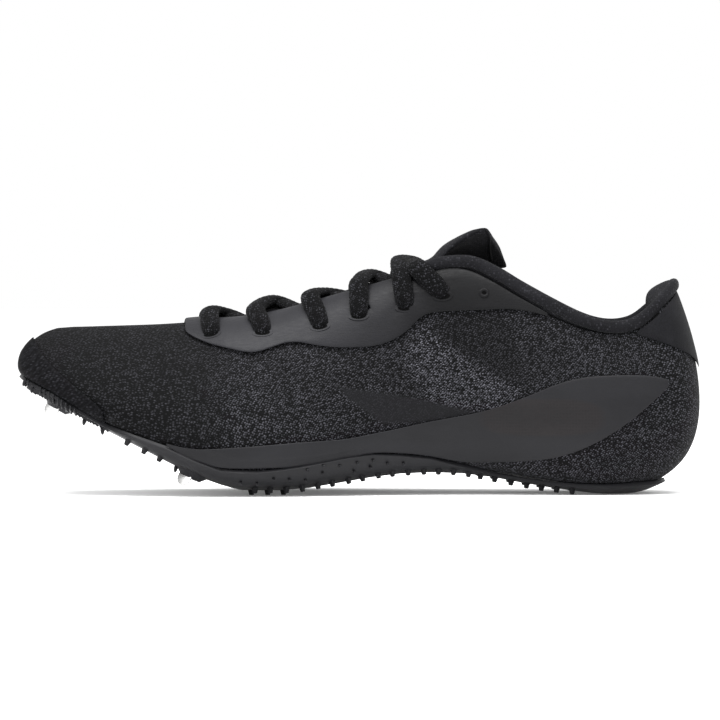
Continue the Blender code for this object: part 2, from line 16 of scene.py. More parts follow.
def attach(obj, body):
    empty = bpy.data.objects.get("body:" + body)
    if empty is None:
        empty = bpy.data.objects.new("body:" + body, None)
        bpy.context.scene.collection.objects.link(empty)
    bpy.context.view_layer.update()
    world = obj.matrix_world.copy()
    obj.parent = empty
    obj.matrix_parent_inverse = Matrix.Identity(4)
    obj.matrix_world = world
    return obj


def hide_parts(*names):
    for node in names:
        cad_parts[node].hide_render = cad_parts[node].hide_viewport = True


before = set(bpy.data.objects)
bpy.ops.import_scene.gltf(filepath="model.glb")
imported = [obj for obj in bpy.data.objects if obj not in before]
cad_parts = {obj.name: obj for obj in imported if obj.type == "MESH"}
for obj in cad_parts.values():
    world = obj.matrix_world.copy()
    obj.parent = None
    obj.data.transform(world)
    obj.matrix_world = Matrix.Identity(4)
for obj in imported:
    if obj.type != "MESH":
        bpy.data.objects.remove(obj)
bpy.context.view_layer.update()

MM = 0.001
BODY = "root"
SIDES = {"inner": -1, "outer": 1}

# %% [markdown]
# ## Node materials in short
# Every finish here is a Principled shader with noise, waves and cells for its grain. Building each
# tree by hand takes many lines, so one small helper adds a node, fills its sockets and hands back
# its first output. A value may be a number, which is set, or a socket, which is linked. Cells are
# Blender's Voronoi texture: each has a distance from its middle, and a random colour of its own.

# %% Helpers for node trees
COOL = 0.16


def add(tree, kind, inputs=None, output=0, **settings):
    made = tree.nodes.new("ShaderNode" + kind)
    for name, value in settings.items():
        setattr(made, name, value)
    for key, value in (inputs or {}).items():
        if isinstance(value, bpy.types.NodeSocket):
            tree.links.new(value, made.inputs[key])
        else:
            made.inputs[key].default_value = value
    return made.outputs[output]


def maths(tree, operation, *values):
    return add(tree, "Math", dict(enumerate(values)), operation=operation)


def blend_colour(tree, share, first, second):
    inputs = {0: share, 6: first, 7: second}
    return add(tree, "Mix", inputs, output=2, data_type="RGBA")


def fade(tree, value, low, high, to_low=0.0, to_high=1.0):
    inputs = {"Value": value, "From Min": low, "From Max": high, "To Min": to_low, "To Max": to_high}
    return add(tree, "MapRange", inputs)


def grey(level, cool=0.0):
    return (level, level, level * (1 + cool), 1.0)


def ink(level):
    """A black with the slight blue that dyed yarn and plastic have under studio light."""
    return grey(level, COOL)


def finish_of(name, roughness, specular, **constants):
    """A material with one Principled shader, whose even values are set on its own sockets."""
    made = bpy.data.materials.new(name)
    made.use_nodes = True
    shader = made.node_tree.nodes["Principled BSDF"]
    shader.inputs["Roughness"].default_value = roughness
    shader.inputs["Specular IOR Level"].default_value = specular
    for key, value in constants.items():
        shader.inputs[key.replace("_", " ")].default_value = value
    return made, made.node_tree, shader


def bumped(tree, shader, height, distance, strength=1.0, under=None):
    inputs = {"Height": height, "Distance": distance, "Strength": strength}
    if under:
        inputs["Normal"] = under
    normal = add(tree, "Bump", inputs)
    tree.links.new(normal, shader.inputs["Normal"])
    return normal


def scaled(tree, vector, scale, turn=0.0):
    return add(tree, "Mapping", {"Vector": vector, "Scale": scale, "Rotation": (0.0, 0.0, turn)})


def place_of(tree):
    return add(tree, "TexCoord", output=3)


def noise_of(tree, vector, scale, detail=2.0, **more):
    return add(tree, "TexNoise", {"Vector": vector, "Scale": scale, "Detail": detail, **more})


def cells(tree, vector, scale, disorder):
    """The distance from a cell's middle, and the cell's random number."""
    distance = add(tree, "TexVoronoi", {"Vector": vector, "Scale": scale, "Randomness": disorder})
    return distance, add(tree, "SeparateColor", {"Color": distance.node.outputs["Color"]})


def on_map(tree, wide, tall, lean, disorder):
    """Cells of a size in metres, on the piece's own UV map."""
    where = add(tree, "UVMap", uv_map="UVMap")
    return cells(tree, scaled(tree, where, (1 / wide, 1 / tall, 1.0), lean), 1.0, disorder)


print("blue added to the inks:", COOL)

# %% [markdown]
# ## Outlines as masks
# Some panels of the knit are denser or more open than the rest, and one dense patch lies low on the
# side. Painting them would need an image. Each is a convex outline instead, given by a few points
# seen from the side, and the shader keeps the least distance to its edges: above 0 is inside.

# %% Outlines as masks
def mask(tree, place, outline, soft):
    """1 inside a convex outline of (x, z) points in mm, 0 outside, with an edge soft mm wide."""
    middle = Vector((sum(x for x, z in outline), sum(z for x, z in outline))) / len(outline)
    inside = None
    for (x1, z1), (x2, z2) in zip(outline, outline[1:] + outline[:1]):
        out = Vector((z2 - z1, x1 - x2)).normalized()
        if out.dot(Vector((x1, z1)) - middle) < 0:
            out.negate()
        reach = out.dot(Vector((x1, z1))) * MM
        across = add(tree, "VectorMath", {0: place, 1: (out.x, 0.0, out.y)}, output=1,
                     operation="DOT_PRODUCT")
        depth = maths(tree, "SUBTRACT", reach, across)
        inside = depth if inside is None else maths(tree, "MINIMUM", inside, depth)
    return fade(tree, inside, -soft * MM / 2, soft * MM / 2)


OPEN_PANEL = ((27.0, 69.5), (67.5, 43.0), (66.0, 37.5), (49.5, 34.0), (30.0, 39.0), (18.7, 56.0))
DENSE_PANEL = ((30.0, 73.0), (60.0, 77.0), (66.0, 62.0), (70.0, 47.0), (57.0, 50.0), (40.0, 60.0))
LEAF_PRINT = ((-8.0, 45.2), (15.2, 42.0), (30.1, 39.2), (41.0, 36.4), (53.0, 33.6), (40.8, 31.0),
              (29.1, 30.6), (13.0, 27.8), (-3.6, 40.0))
print("outlines:", [len(outline) for outline in (OPEN_PANEL, DENSE_PANEL, LEAF_PRINT)])

# %% [markdown]
# ## The knit
# The upper is a tight engineered knit. Seen close, it is columns of small loops, and the brighter
# yarns catch the light as specks between black gaps. These specks are a painted highlight: a share of
# the loops is coloured bright where yarn would glint. A picture of cloth would be quick, but it has
# no depth and can't be rescaled, so the loops are cells: one cell a loop, its own brightness, a
# round top and a black gap round it. The cells follow the piece's UV map, in metres round the shoe.
# Over the toes the loops are wider and darker than on the side, and towards the toe's tip their
# glints fade as a painted shade.

# %% Knit finish
LOOP_PITCH, ROW_PITCH, LOOP_LEAN, LOOP_DISORDER = 0.98 * MM, 0.80 * MM, 0.45, 0.50
VAMP_PITCH, VAMP_ROW, VAMP_LEAN, VAMP_DISORDER = 1.20 * MM, 0.85 * MM, 0.12, 0.65
VAMP_END = -64.0 * MM
VAMP_FADE = 14.0 * MM
# painted shade: the loops' glints dim towards the tip of the toe
TOE_SHADE = (-128.0 * MM, -100.0 * MM)
LOOP_EDGE, LOOP_TOP = 0.52, 0.20
ROUGH_KNIT, ROUGH_LEAF = 0.80, 0.58


def knit_finish(name, gap, loop, glint):
    """gap, loop and glint are the levels between the loops, on a dim loop and on a bright one; the bright
    one is a painted highlight.
    """
    made, tree, shader = finish_of(name, ROUGH_KNIT, 0.07, Sheen_Weight=0.01, Sheen_Roughness=0.5)
    place = place_of(tree)
    along = add(tree, "SeparateXYZ", {"Vector": place})
    on_vamp = fade(tree, along, VAMP_END + VAMP_FADE, VAMP_END - VAMP_FADE)
    side = on_map(tree, LOOP_PITCH, ROW_PITCH, LOOP_LEAN, LOOP_DISORDER)
    vamp = on_map(tree, VAMP_PITCH, VAMP_ROW, VAMP_LEAN, VAMP_DISORDER)
    off, chance = (
        add(tree, "Mix", {0: on_vamp, 2: on_side, 3: on_toes}, data_type="FLOAT")
        for on_side, on_toes in zip(side, vamp)
    )
    cloud = noise_of(tree, place, 34.0, 4.0)
    fibre = noise_of(tree, place, 2600.0)
    open_knit = mask(tree, place, OPEN_PANEL, 2.5)
    dense_knit = mask(tree, place, DENSE_PANEL, 7.0)
    leaf = mask(tree, place, LEAF_PRINT, 1.6)
    top = fade(tree, off, LOOP_EDGE, LOOP_TOP)
    lit = fade(tree, chance, 0.0, 1.0, 0.22, 0.84)
    for factor in (
        fade(tree, cloud, 0.30, 0.70, 0.88, 1.12),
        fade(tree, open_knit, 0.0, 1.0, 1.0, 2.2),
        fade(tree, on_vamp, 0.0, 1.0, 1.0, 0.62),
        fade(tree, along, *TOE_SHADE, 0.50, 1.0),
        fade(tree, dense_knit, 0.0, 1.0, 1.0, 0.35),
    ):
        lit = maths(tree, "MULTIPLY", lit, factor)
    # painted highlight: lit loops take the glint colour, standing in for yarn that glints in the light
    yarn = add(tree, "Mix", {0: lit, 6: ink(loop), 7: ink(glint)}, output=2, data_type="RGBA",
               clamp_factor=False)
    yarn = blend_colour(tree, fade(tree, fibre, 0.35, 0.75, 0.0, 0.4), yarn, ink(loop * 0.6))
    colour = blend_colour(tree, top, ink(gap), yarn)
    colour = blend_colour(tree, fade(tree, on_vamp, 0.0, 1.0, 0.0, 0.34), colour, ink(gap))
    colour = blend_colour(tree, fade(tree, leaf, 0.0, 1.0, 0.0, 0.86), colour, ink(loop * 0.50))
    tree.links.new(colour, shader.inputs["Base Color"])
    tree.links.new(fade(tree, leaf, 0.0, 1.0, ROUGH_KNIT, ROUGH_LEAF), shader.inputs["Roughness"])
    soft = bumped(tree, shader, fibre, 0.12 * MM, 0.5)
    height = maths(tree, "MULTIPLY", top, fade(tree, leaf, 0.0, 1.0, 1.0, 0.15))
    bumped(tree, shader, height, 0.40 * MM, 0.7, soft)
    return made


knit = knit_finish("black_knit", 0.0010, 0.0105, 0.072)
print("knit loops in mm:", round(LOOP_PITCH / MM, 2))

# %% [markdown]
# ## Films
# The films are heat-pressed plastic skins, so they are smooth and a little glossy, yet the knit still
# telegraphs through as a faint bump. One function makes them all. A wing also has a window, a rounded
# patch where a comb of cells shows through browner, the eyestay is painted darker towards the ankle
# as a painted shade where the light falls off, and the toe's skin has fine wavy lines with knit
# showing between them.

# %% Film finishes
WINDOW_PITCH = 1.3 * MM
WINDOW_ROUND = 3.0
SHADE_RUN = 45.0 * MM
DIMPLE = 0.9 * MM


def with_window(tree, place, colour, base, middle, half_size):
    """A browner comb inside a rounded box seen from the side, and broad bands over the whole film."""
    off = None
    for axis, centre, half in zip((0, 2), middle, half_size):
        part = add(tree, "SeparateXYZ", {"Vector": place}, output=axis)
        share = maths(tree, "DIVIDE", maths(tree, "SUBTRACT", part, centre), half)
        share = maths(tree, "POWER", maths(tree, "ABSOLUTE", share), WINDOW_ROUND)
        off = share if off is None else maths(tree, "ADD", off, share)
    comb = add(tree, "TexVoronoi", {"Vector": scaled(tree, place, (1.0, 0.3, 1.0)),
                                    "Scale": 1 / WINDOW_PITCH, "Randomness": 0.25},
               feature="DISTANCE_TO_EDGE")
    shown = blend_colour(tree, fade(tree, comb, 0.05, 0.30),
                         (base * 1.30, base * 1.10, base * 1.14, 1.0),
                         (base * 1.02, base * 0.86, base * 0.90, 1.0))
    colour = blend_colour(tree, fade(tree, off, 1.25, 0.80, 0.0, 0.8), colour, shown)
    bands = noise_of(tree, scaled(tree, place, (14.0, 14.0, 70.0)), 1.0, 3.0)
    return blend_colour(tree, fade(tree, bands, 0.38, 0.62, 0.0, 0.42), colour, ink(base * 0.45))


def with_lines(tree, place, colour, base, pitch):
    """Wavy diagonal lines, and specks of knit between them."""
    wave = add(tree, "TexWave", {"Vector": scaled(tree, place, (1.0, 0.4, -1.0)),
                                 "Scale": 0.32 / pitch, "Distortion": 1.5, "Detail": 2.0,
                                 "Detail Scale": 2.0}, output=1, bands_direction="DIAGONAL")
    colour = blend_colour(tree, fade(tree, wave, 0.55, 0.95, 0.0, 0.5), colour, ink(base * 2.6))
    spot, chance = on_map(tree, 1.4 * MM, 1.1 * MM, 0.3, 0.5)
    spot = maths(tree, "MULTIPLY", fade(tree, spot, LOOP_EDGE, LOOP_TOP),
                 fade(tree, chance, 0.2, 1.0))
    return blend_colour(tree, spot, colour, ink(base * 7.0))


def film_finish(name, base, roughness, specular, window=None, lines=None, shade_from=None):
    made, tree, shader = finish_of(name, roughness, specular, Coat_Weight=0.01, Coat_Roughness=0.35)
    place = place_of(tree)
    streak = noise_of(tree, scaled(tree, place, (0.35, 1.0, 1.9)), 900.0)
    cloud = noise_of(tree, place, 40.0, 4.0)
    tint = fade(tree, maths(tree, "ADD", maths(tree, "MULTIPLY", streak, 0.5), cloud), 0.45, 1.05)
    colour = blend_colour(tree, tint, ink(base * 0.82), ink(base * 1.22))
    if window:
        colour = with_window(tree, place, colour, base, *window)
    # painted shade: the film darkens towards the ankle, where less light falls on it
    if shade_from:
        along = add(tree, "SeparateXYZ", {"Vector": place})
        painted_falloff = fade(tree, along, shade_from, shade_from + SHADE_RUN, 0.0, 0.85)
        colour = blend_colour(tree, painted_falloff, colour, ink(base * 0.12))
    if lines:
        colour = with_lines(tree, place, colour, base, lines)
    tree.links.new(colour, shader.inputs["Base Color"])
    tree.links.new(fade(tree, streak, 0.3, 0.7, roughness - 0.06, roughness + 0.10),
                   shader.inputs["Roughness"])
    dimples, _ = on_map(tree, DIMPLE, DIMPLE, 0.0, 0.6)
    pressed = bumped(tree, shader, dimples, -0.10 * MM, 0.35)
    bumped(tree, shader, streak, 0.08 * MM, 0.4, pressed)
    return made


WING_WINDOW = ((0.076, 0.0325), (0.025, 0.0075))
film = film_finish("smooth_film", 0.0115, 0.44, 0.09, shade_from=-12.0 * MM)
wing_film = film_finish("wing_film", 0.0085, 0.52, 0.13, window=WING_WINDOW)
toe_skin = film_finish("toe_film", 0.0022, 0.75, 0.035, lines=1.3 * MM)
print("film window in mm:", [[round(c / MM, 1) for c in pair] for pair in WING_WINDOW])

# %% [markdown]
# ## Moulded plate and brushed lining
# The plate is moulded nylon with a fine spark-eroded grain, so it is even, with a small bump and a
# slow change of gloss. The lining is a brushed fabric. Its nap is a very fine noise with a little
# Sheen, which scatters light at the edges as fibres do, and its weave shows as a few pale cells.

# %% Plate and lining finishes
WEAVE = 0.9 * MM


def plate_finish(name, base, roughness):
    made, tree, shader = finish_of(name, roughness, 0.13, Coat_Weight=0.01, Coat_Roughness=0.3)
    place = place_of(tree)
    grain = noise_of(tree, place, 2400.0, 3.0)
    cloud = noise_of(tree, place, 60.0, 5.0, Roughness=0.6)
    colour = blend_colour(tree, fade(tree, cloud, 0.35, 0.7), ink(base * 0.8), ink(base * 1.25))
    tree.links.new(colour, shader.inputs["Base Color"])
    tree.links.new(fade(tree, cloud, 0.35, 0.7, roughness - 0.08, roughness + 0.08),
                   shader.inputs["Roughness"])
    bumped(tree, shader, grain, 0.06 * MM, 0.5)
    return made


def nap_finish(name, base, weave=None):
    """A brushed lining: fine nap, and where a weave is asked for, cells with a few pale ones."""
    made, tree, shader = finish_of(
        name, 0.92, 0.06, Sheen_Weight=0.03, Sheen_Roughness=0.5, Sheen_Tint=grey(0.8)
    )
    place = place_of(tree)
    nap = noise_of(tree, place, 3200.0, 3.0)
    cloud = noise_of(tree, place, 90.0, 4.0)
    mixed = maths(tree, "ADD", maths(tree, "MULTIPLY", nap, 0.6), maths(tree, "MULTIPLY", cloud, 0.4))
    colour = blend_colour(tree, fade(tree, mixed, 0.38, 0.62), ink(base * 0.6), ink(base * 1.6))
    normal = bumped(tree, shader, nap, 0.15 * MM, 0.7)
    if weave:
        distance, chance = cells(tree, place, 1 / weave, 0.5)
        pale = maths(tree, "MULTIPLY", fade(tree, chance, 0.60, 1.0),
                     fade(tree, distance, 0.55, 0.15))
        colour = blend_colour(tree, pale, colour, ink(base * 4.5))
        bumped(tree, shader, distance, -0.2 * MM, 0.6, normal)
    tree.links.new(colour, shader.inputs["Base Color"])
    return made


heel_film = nap_finish("heel_film", 0.0055)
plate = plate_finish("black_plate", 0.0078, 0.46)
lining = nap_finish("soft_lining", 0.0055, WEAVE)
tongue_cloth = nap_finish("tongue_cloth", 0.0058, WEAVE)
print("finishes so far:", len(bpy.data.materials))

# %% [markdown]
# ## Lace yarn and pin steel
# The lace is a flat woven tube of polyester. Its yarns show as small cells along the cord, and single
# pale fibres catch the light. The pins are turned steel: rings from the tool run round them, so the
# noise is squeezed along their height and changes both colour and gloss.

# %% Lace and steel finishes
BRAID_PITCH = 0.80 * MM
BRAID_LEAN = 0.6


def lace_finish(name, base):
    made, tree, shader = finish_of(
        name, 0.85, 0.06, Sheen_Weight=0.02, Sheen_Roughness=0.4, Sheen_Tint=grey(0.8)
    )
    distance, chance = on_map(tree, BRAID_PITCH, BRAID_PITCH / 1.3, BRAID_LEAN, 0.5)
    fibre = noise_of(tree, place_of(tree), 3000.0)
    top = fade(tree, distance, 0.0, 0.6, 1.0, 0.0)
    yarn = blend_colour(tree, top, ink(base * 0.4), ink(base * 1.3))
    pale = maths(tree, "MULTIPLY", fade(tree, chance, 0.25, 1.0), fade(tree, distance, 0.50, 0.15))
    colour = blend_colour(tree, pale, yarn, ink(base * 16.0))
    tree.links.new(colour, shader.inputs["Base Color"])
    soft = bumped(tree, shader, fibre, 0.15 * MM, 0.6)
    bumped(tree, shader, top, 0.4 * MM, 0.9, soft)
    return made


def steel_finish(name):
    made, tree, shader = finish_of(name, 0.28, 0.5, Metallic=1.0)
    rings = noise_of(tree, scaled(tree, place_of(tree), (0.3, 0.3, 3.0)), 1500.0)
    colour = blend_colour(tree, rings, (0.30, 0.30, 0.30, 1.0), (0.52, 0.52, 0.51, 1.0))
    tree.links.new(colour, shader.inputs["Base Color"])
    tree.links.new(fade(tree, rings, 0.3, 0.7, 0.18, 0.38), shader.inputs["Roughness"])
    bumped(tree, shader, rings, 0.03 * MM, 0.4)
    return made


cord = lace_finish("woven_lace", 0.0021)
steel = steel_finish("spike_steel")
print("yarn pitch in mm:", round(BRAID_PITCH / MM, 2))

# %% [markdown]
# ## Smooth copies of the solids
# The solids are faceted, as CAD for physics should be. A copy whose loose triangles are merged and
# joined back into quads is a good cage for a Subdivision Surface, which rounds the facets and leaves
# the form where it was. Remeshing would be quicker to write, but it would blur the thin edges. Each
# copy gets a UV map in metres, wrapped round the shoe, so that the cloth's loops keep one size.

# %% Copy, smooth, place
MERGE = 2e-6
FLAT_ENOUGH = math.radians(40)
SHAPE_ENOUGH = math.radians(70)
WRAP_HEIGHT = 45 * MM
WRAP_RADIUS = 45 * MM
HEEL_START = 100 * MM
HEEL_RADIUS = 34 * MM
HEEL_BLEND = 24 * MM


def object_of(name, bm, finish):
    mesh = bpy.data.meshes.new(name)
    bm.to_mesh(mesh)
    bm.free()
    mesh.shade_smooth()
    made = bpy.data.objects.new(name, mesh)
    bpy.context.scene.collection.objects.link(made)
    mesh.materials.append(finish)
    return made


def cage_of(node):
    """The node's form as merged quads, where its triangles pair up."""
    bm = bmesh.new()
    bm.from_mesh(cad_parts[node].data)
    bmesh.ops.remove_doubles(bm, verts=bm.verts, dist=MERGE)
    bmesh.ops.join_triangles(
        bm, faces=bm.faces, angle_face_threshold=FLAT_ENOUGH, angle_shape_threshold=SHAPE_ENOUGH
    )
    return bm


def wrap(bm):
    """A UV map in metres: u along the shoe and round its heel, v over it and up the heel.

    Both sides are wrapped alike. A face across the middle line runs on past it instead.
    """
    layer = bm.loops.layers.uv.new("UVMap")
    for face in bm.faces:
        sides = [vertex.co.y for vertex in face.verts]
        in_the_middle = min(sides) < 0 < max(sides)
        for loop in face.loops:
            x, y, z = loop.vert.co.x, -loop.vert.co.y, loop.vert.co.z - WRAP_HEIGHT
            y = y if in_the_middle else abs(y)
            behind = max(x - HEEL_START, 0.0)
            round_heel = HEEL_START + HEEL_RADIUS * math.atan2(behind, y) if behind else x
            share = min(behind / HEEL_BLEND, 1.0)
            over, down = math.atan2(y, z) * WRAP_RADIUS, math.pi / 2 * WRAP_RADIUS - z
            loop[layer].uv = (round_heel, -(over * (1 - share) + down * share))
    return bm


def subdivided(made, levels):
    smooth = made.modifiers.new("smooth", "SUBSURF")
    smooth.levels = smooth.render_levels = levels
    return made


def applied(made):
    """Turns the live modifiers into mesh, for work on the fine points."""
    graph = bpy.context.evaluated_depsgraph_get()
    mesh = bpy.data.meshes.new_from_object(made.evaluated_get(graph))
    made.modifiers.clear()
    made.data = mesh
    mesh.shade_smooth()
    return made


def placed(made, slot, *nodes):
    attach(made, BODY)
    if nodes:
        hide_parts(*nodes)
    print(made.name, "faces:", len(made.data.polygons))
    return made


def smooth_copy(node, name, finish, levels):
    return subdivided(object_of(name, wrap(cage_of(node)), finish), levels)


print("nodes to dress:", len(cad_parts))

# %% [markdown]
# ## Points on the solids
# Small parts have to lie on a surface. A ray shot at it, or a search for its nearest point, gives
# both the place and the way the surface faces there. A BVH tree makes that fast: it sorts a solid's
# faces into nested boxes, so that each question looks at only a few of them.

# %% Points on the solids
OUTSIDE = 200.0 * MM
surfaces = {
    node: BVHTree.FromPolygons(
        [vertex.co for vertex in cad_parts[node].data.vertices],
        [face.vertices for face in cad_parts[node].data.polygons],
    )
    for node in ("upper", "eyestay", "sole_plate", "tongue")
}


def on_surface(node, x, z, sign):
    """Where a ray from the side meets a node, and the way its surface faces there."""
    start = Vector((x * MM, sign * OUTSIDE, z * MM))
    place, out, *_ = surfaces[node].ray_cast(start, Vector((0.0, -sign, 0.0)))
    return place, out


print("surfaces:", ", ".join(surfaces))

# %% [markdown]
# ## The upper
# A real upper is soft, and it creases where the foot bends it. The creases could be simulated, but
# here they are known from the photograph, so the copy is made fine and each is pressed in one by one: a
# long shallow trough with soft sides, placed by its middle, its length, its width and its lean.

# %% Upper
CREASES = (  # along x in mm, height in mm, length, width, depth, lean
    (-52.0, 50.0, 22.0, 4.5, 0.7, -0.5),
    (-30.0, 47.0, 26.0, 5.0, 0.8, -0.6),
    (-8.0, 45.0, 24.0, 5.0, 0.6, -0.3),
    (46.0, 58.0, 24.0, 6.0, 0.9, -0.7),
    (70.0, 60.0, 24.0, 7.0, 0.4, -0.6),
    (86.0, 54.0, 20.0, 6.0, 0.3, 0.7),
)


def crease_depth(place):
    depth = 0.0
    for x, z, length, width, deep, lean in CREASES:
        dx, dz = place.x / MM - x, place.z / MM - z
        run = math.cos(lean) * dx + math.sin(lean) * dz
        off = -math.sin(lean) * dx + math.cos(lean) * dz
        depth += deep * MM * math.exp(-((run / length) ** 2) - (off / width) ** 2)
    return depth


SMOOTH = 2
upper = applied(smooth_copy("upper", "knit_upper", knit, SMOOTH))
moves = [vertex.normal * -crease_depth(vertex.co) for vertex in upper.data.vertices]
for vertex, move in zip(upper.data.vertices, moves):
    vertex.co += move
placed(upper, "black_knit", "upper")

# %% [markdown]
# ## Films over the knit
# The toe cap, the eyestay and the two side wings are skins of about half a millimetre. Their solids
# already lie on the upper, so copies with the same smoothing keep the same gap. The photograph shows
# some edges a few millimetres further on. There the film slides over the upper, most in the middle of
# each pull, and keeps its height above the knit.

# %% Films
STILL = 0.05 * MM
PULLS = (  # the film's lower edge, in mm: middle x and z, move along x and z, reach
    (18.0, 66.0, 6.0, 0.0, 12.0), (-28.0, 61.0, 0.0, 2.6, 9.0), (28.0, 68.0, 4.0, 0.0, 9.0),
)
WING_PULLS = tuple((x, z, 0.0, -1.5, 8.5) for x, z in (
    (-71.0, 18.5), (-58.0, 14.2), (-45.0, 12.6), (-31.0, 12.8), (-17.0, 15.4), (-5.0, 18.2),
))


def pulled(made, pulls):
    """Slides a film over the upper round a few places, and keeps its height above it."""
    for vertex in made.data.vertices:
        start, out, *_ = surfaces["upper"].find_nearest(vertex.co)
        height = (vertex.co - start).dot(out)
        move = Vector()
        for x, z, along, up, reach in pulls:
            off = Vector((vertex.co.x / MM - x, 0.0, vertex.co.z / MM - z)).length / reach
            move += Vector((along, 0.0, up)) * MM * math.exp(-(off**2))
        if move.length > STILL:
            landed, facing, *_ = surfaces["upper"].find_nearest(vertex.co + move)
            facing = facing if facing.dot(out) > 0 else out
            vertex.co = landed + facing * height
    return made


placed(smooth_copy("toe_film", "toe_cap_film", toe_skin, SMOOTH), "smooth_film", "toe_film")
eyestay = pulled(applied(smooth_copy("eyestay", "eyestay_film", film, SMOOTH)), PULLS)
placed(eyestay, "smooth_film", "eyestay")
for side in SIDES:
    wing = applied(smooth_copy(f"wing_{side}", f"side_wing_{side}", wing_film, SMOOTH))
    placed(pulled(wing, WING_PULLS), "smooth_film", f"wing_{side}")
placed(smooth_copy("heel_patch", "heel_counter_film", heel_film, SMOOTH), "heel_film", "heel_patch")

# %% [markdown]
# ## Collar, tongue and insole
# These are foam under cloth. The collar's solid already has its thick heel pad, so smoothing is all
# that it needs. Foam swells where nothing presses it, so the tongue is raised along its middle, up to
# the height that it has under each crossing of the lace. Simulating it would hide that control.

# %% Collar, tongue and insole
TONGUE_TOPS = (  # x and the height of the tongue's top under the lace, in mm
    (-70.0, 67.0), (-55.4, 72.9), (-34.6, 77.7), (-12.5, 80.8), (6.0, 88.4), (18.2, 93.9),
    (28.0, 97.5), (40.0, 100.0),
)
SWELL_MOST = 5.0 * MM
SWELL_REACH = 9.0 * MM


def level_at(points, x):
    """A height between given points, straight from one to the next."""
    for (x1, z1), (x2, z2) in zip(points, points[1:]):
        if x1 <= x <= x2:
            return z1 + (z2 - z1) * (x - x1) / (x2 - x1)
    return 0.0


collar = placed(smooth_copy("collar", "padded_collar", lining, SMOOTH), "soft_lining", "collar")
tongue = applied(smooth_copy("tongue", "padded_tongue", tongue_cloth, SMOOTH))
for vertex in tongue.data.vertices:
    x, y = vertex.co.x, vertex.co.y
    top = surfaces["tongue"].ray_cast(Vector((x, 0.0, OUTSIDE)), Vector((0.0, 0.0, -1.0)))[0]
    if top is not None:
        short = max(level_at(TONGUE_TOPS, x / MM) * MM - top.z, 0.0)
        vertex.co.z += min(short, SWELL_MOST) * math.exp(-((y / SWELL_REACH) ** 2))
placed(tongue, "soft_lining", "tongue")
placed(smooth_copy("insole", "insole_sock", lining, 1), "soft_lining", "insole")

# %% [markdown]
# ## The plate
# The plate is one moulding: a thin shell that wraps the sole's corner, with studs, spike seats and
# fine ribs round the toe. Its solid has every form, so a copy with its hard edges slightly rounded
# is enough: moulded plastic never has a perfectly sharp edge, and the round catches the light.

# %% Plate
EDGE_ROUND = 0.22 * MM
HARD_EDGE = math.radians(32)

sole = object_of("studded_plate", wrap(cage_of("sole_plate")), plate)
edge = sole.modifiers.new("rounded", "BEVEL")
edge.width = EDGE_ROUND
edge.segments = 2
edge.limit_method = "ANGLE"
edge.angle_limit = HARD_EDGE
edge.use_clamp_overlap = True
placed(sole, "black_plate", "sole_plate")

# %% [markdown]
# ## Steel pins
# A sprint pin is a turned cone on a flange. Turning is what spin does: a short profile goes once
# round the axis and its seam is merged. Each pin stands where its solid does, square to the plate.

# %% Pins
PIN_PROFILE = (  # distance from the axis and height, in mm
    (0.0, 4.4), (0.25, 4.35), (0.42, 4.15), (0.75, 3.0), (1.15, 1.6), (1.5, 0.95), (2.1, 0.85),
    (3.1, 0.8), (3.5, 0.65), (3.6, 0.4), (3.6, 0.05), (3.4, 0.0), (0.0, 0.0),
)
PIN_STEPS = 28
PIN_COUNT = 4
TIP_REACH = 0.9 * MM
FOOT_POINTS = 20


def pin_frame(node):
    """Where a pin stands: the middle of its flange's foot, and the way it points."""
    points = [vertex.co.copy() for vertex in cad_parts[node].data.vertices]
    middle = sum(points, Vector()) / len(points)
    tip = max(points, key=lambda point: (point - middle).length)
    near_tip = [point for point in points if (point - tip).length < TIP_REACH]
    tip = sum(near_tip, Vector()) / len(near_tip)
    foot = sorted(points, key=lambda point: (point - tip).length)[-FOOT_POINTS:]
    foot = sum(foot, Vector()) / len(foot)
    return foot, (tip - foot).normalized()


for number in range(1, PIN_COUNT + 1):
    foot, out = pin_frame(f"spike_{number}")
    bm = bmesh.new()
    dots = [bm.verts.new((across * MM, 0.0, up * MM)) for across, up in PIN_PROFILE]
    lines = [bm.edges.new(pair) for pair in zip(dots, dots[1:])]
    bmesh.ops.spin(bm, geom=dots + lines, axis=(0, 0, 1), cent=(0, 0, 0), angle=math.tau,
                   steps=PIN_STEPS, use_merge=True)
    bmesh.ops.remove_doubles(bm, verts=bm.verts, dist=MERGE)
    bmesh.ops.recalc_face_normals(bm, faces=bm.faces)
    turn = out.to_track_quat("Z", "Y").to_matrix().to_4x4()
    bmesh.ops.transform(bm, matrix=Matrix.Translation(foot) @ turn, verts=bm.verts)
    placed(object_of(f"steel_pin_{number}", wrap(bm), steel), "spike_steel", f"spike_{number}")

# %% [markdown]
# ## The lace
# A lace is one long woven cord. It comes out of a hole, goes over the edge of the throat, crosses
# the tongue and dives under the far edge, towards the next hole. Only the last crossing goes on over
# the far edge, into the top hole, where the lace's hidden end stops. The places of the holes and of
# the throat's edge beside them were printed from part.py's own form, and a spline joins them.

# %% Lace holes and paths
HOLES = {  # centre in mm, and the direction out of the shoe
    "inner": (
        ((-60.1, -19.9, 66.9), (-0.42, -0.59, 0.69)), ((-40.1, -23.1, 67.6), (-0.08, -0.66, 0.74)),
        ((-16.5, -22.9, 72.5), (-0.16, -0.77, 0.62)), ((2.8, -22.4, 77.6), (-0.09, -0.83, 0.55)),
        ((19.1, -22.3, 81.3), (-0.16, -0.89, 0.43)), ((31.7, -24.0, 84.1), (-0.21, -0.93, 0.31)),
    ),
    "outer": (
        ((-62.8, 14.7, 66.9), (-0.55, 0.50, 0.67)), ((-42.5, 19.8, 67.6), (-0.12, 0.61, 0.78)),
        ((-18.0, 21.5, 72.5), (-0.22, 0.69, 0.69)), ((2.6, 22.3, 77.6), (-0.16, 0.77, 0.62)),
        ((19.6, 23.2, 81.3), (-0.18, 0.84, 0.51)), ((32.5, 24.8, 84.1), (-0.20, 0.90, 0.38)),
    ),
}
